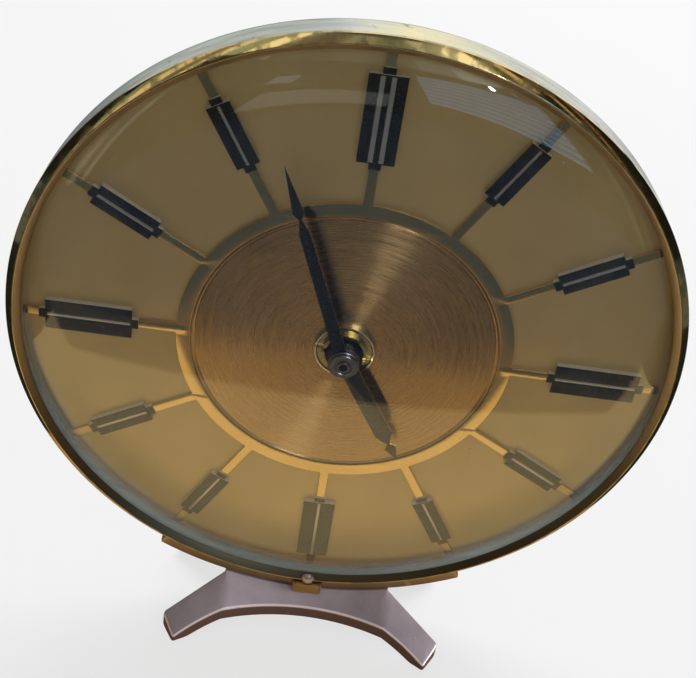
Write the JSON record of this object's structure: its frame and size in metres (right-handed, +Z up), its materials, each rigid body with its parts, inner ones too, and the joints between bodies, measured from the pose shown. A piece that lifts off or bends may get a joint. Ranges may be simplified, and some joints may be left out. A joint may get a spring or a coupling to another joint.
{
  "type": "round table clock",
  "caption": "Round brass table clock on a splayed foot, with a domed glass, black bar markers, two hands and a battery movement behind.",
  "frame": {"origin": "centre of the foot on the table, below the middle of the clock", "axes": "+Z up, -Y the way the dial faces, +X to the right seen from the front"},
  "size_m": [0.17, 0.0398, 0.186],
  "materials": {
    "polished_brass": "polished, lacquered",
    "case_brass": "satin, pale lacquered",
    "dial_brass": "fine satin, lacquered",
    "ring_gold": "satin gold",
    "copper_disc": "circularly brushed, rose brown lacquer",
    "nut_brass": "turned and polished",
    "black_enamel": "gloss black enamel",
    "dial_glass": "clear, polished",
    "gunmetal": "turned, dark",
    "cradle_brass": "satin, aged",
    "foot_bronze": "cast, satin, brown bronze",
    "stud_metal": "polished, dark nickel",
    "steel_zinc": "zinc plated",
    "spring_steel": "bright",
    "contact_nickel": "nickel plated",
    "stator_iron": "stamped soft iron",
    "copper_wire": "enamelled copper wire",
    "black_plastic": "fine moulded grain",
    "grey_plastic": "moulded",
    "white_plastic": "moulded acetal",
    "red_plastic": "moulded acetal",
    "magnet_grey": "moulded wheel with its sintered magnet",
    "washer_rubber": "matt",
    "seat_card": "satin, gold brown",
    "board_green": "solder mask",
    "resin_black": "cast resin",
    "cell_jacket": "printed film on a steel can"
  },
  "bodies": {
    "clock_body": {"case_shell": "case_brass", "bezel": "polished_brass", "glass": "dial_glass", "glass_seat_ring": "seat_card", "dial_plate": "dial_brass", "dial_spacer_ring": "grey_plastic", "centre_disc": "copper_disc", "hour_ring": "ring_gold", "marker_twelve": "black_enamel", "long_markers": "black_enamel", "short_markers": "black_enamel", "fixing_nut": "nut_brass", "centre_bush": "nut_brass", "rubber_washer": "washer_rubber", "movement_front": "black_plastic", "movement_plate": "white_plastic", "movement_rear": "black_plastic", "stator": "stator_iron", "coil_core": "stator_iron", "coil_bobbin": "white_plastic", "coil_winding": "copper_wire", "stator_screws": "steel_zinc", "circuit_board": "board_green", "control_chip": "resin_black", "quartz_crystal": "contact_nickel", "battery": "cell_jacket", "battery_contact_plus": "contact_nickel", "battery_contact_minus": "contact_nickel", "rear_cover": "black_plastic", "rear_cover_screws": "steel_zinc", "battery_door_pin": "steel_zinc", "cradle": "cradle_brass", "cradle_screws": "steel_zinc", "bezel_clip": "cradle_brass", "bezel_stud": "stud_metal", "foot": "foot_bronze", "foot_screws": "steel_zinc"},
    "minute_work": {"minute_arbor": "gunmetal", "minute_hand": "black_enamel", "hand_washers": "black_plastic", "hand_nut": "gunmetal", "clutch_spring": "spring_steel"},
    "hour_work": {"hour_wheel": "white_plastic", "hour_hand": "black_enamel"},
    "motion_work": {"minute_wheel": "white_plastic"},
    "setting_work": {"setting_knob": "grey_plastic"},
    "seconds_work": {"seconds_wheel": "red_plastic"},
    "third_work": {"third_wheel": "white_plastic"},
    "centre_work": {"centre_wheel": "white_plastic"},
    "intermediate_work": {"intermediate_wheel": "white_plastic"},
    "rotor_work": {"rotor": "magnet_grey"},
    "door": {"battery_door": "black_plastic"}
  },
  "joints": [
    {"name": "minute_turn", "type": "hinge", "parent": "clock_body", "child": "minute_work", "pos_m": [0, 0.005, 0.101], "axis": [0, 1, 0], "continuous": true},
    {"name": "hour_turn", "type": "hinge", "parent": "clock_body", "child": "hour_work", "pos_m": [0, 0.005, 0.101], "axis": [0, 1, 0], "continuous": true},
    {"name": "motion_turn", "type": "hinge", "parent": "clock_body", "child": "motion_work", "pos_m": [0, 0.005, 0.113], "axis": [0, 1, 0], "continuous": true},
    {"name": "setting_turn", "type": "hinge", "parent": "clock_body", "child": "setting_work", "pos_m": [0.01269, 0.005, 0.11762], "axis": [0, 1, 0], "continuous": true},
    {"name": "seconds_turn", "type": "hinge", "parent": "clock_body", "child": "seconds_work", "pos_m": [0, 0.005, 0.101], "axis": [0, 1, 0], "continuous": true},
    {"name": "third_turn", "type": "hinge", "parent": "clock_body", "child": "third_work", "pos_m": [0.01152, 0.005, 0.10303], "axis": [0, 1, 0], "continuous": true},
    {"name": "centre_turn", "type": "hinge", "parent": "clock_body", "child": "centre_work", "pos_m": [0, 0.005, 0.101], "axis": [0, 1, 0], "continuous": true},
    {"name": "intermediate_turn", "type": "hinge", "parent": "clock_body", "child": "intermediate_work", "pos_m": [-0.01065, 0.005, 0.10715], "axis": [0, 1, 0], "continuous": true},
    {"name": "rotor_turn", "type": "hinge", "parent": "clock_body", "child": "rotor_work", "pos_m": [-0.01902, 0.005, 0.10788], "axis": [0, 1, 0], "continuous": true},
    {"name": "battery_door_hinge", "type": "hinge", "parent": "clock_body", "child": "door", "pos_m": [0, 0.01885, 0.0728], "axis": [-1, 0, 0], "range_deg": [0, 110]}
  ],
  "couplings": [
    {"joint": "hour_turn", "follows": "minute_turn", "ratio": 0.083333},
    {"joint": "motion_turn", "follows": "minute_turn", "ratio": -0.33333},
    {"joint": "setting_turn", "follows": "minute_turn", "ratio": 0.66667},
    {"joint": "third_turn", "follows": "seconds_turn", "ratio": -0.13333},
    {"joint": "centre_turn", "follows": "seconds_turn", "ratio": 0.016667},
    {"joint": "intermediate_turn", "follows": "seconds_turn", "ratio": -5},
    {"joint": "rotor_turn", "follows": "seconds_turn", "ratio": 30}
  ]
}
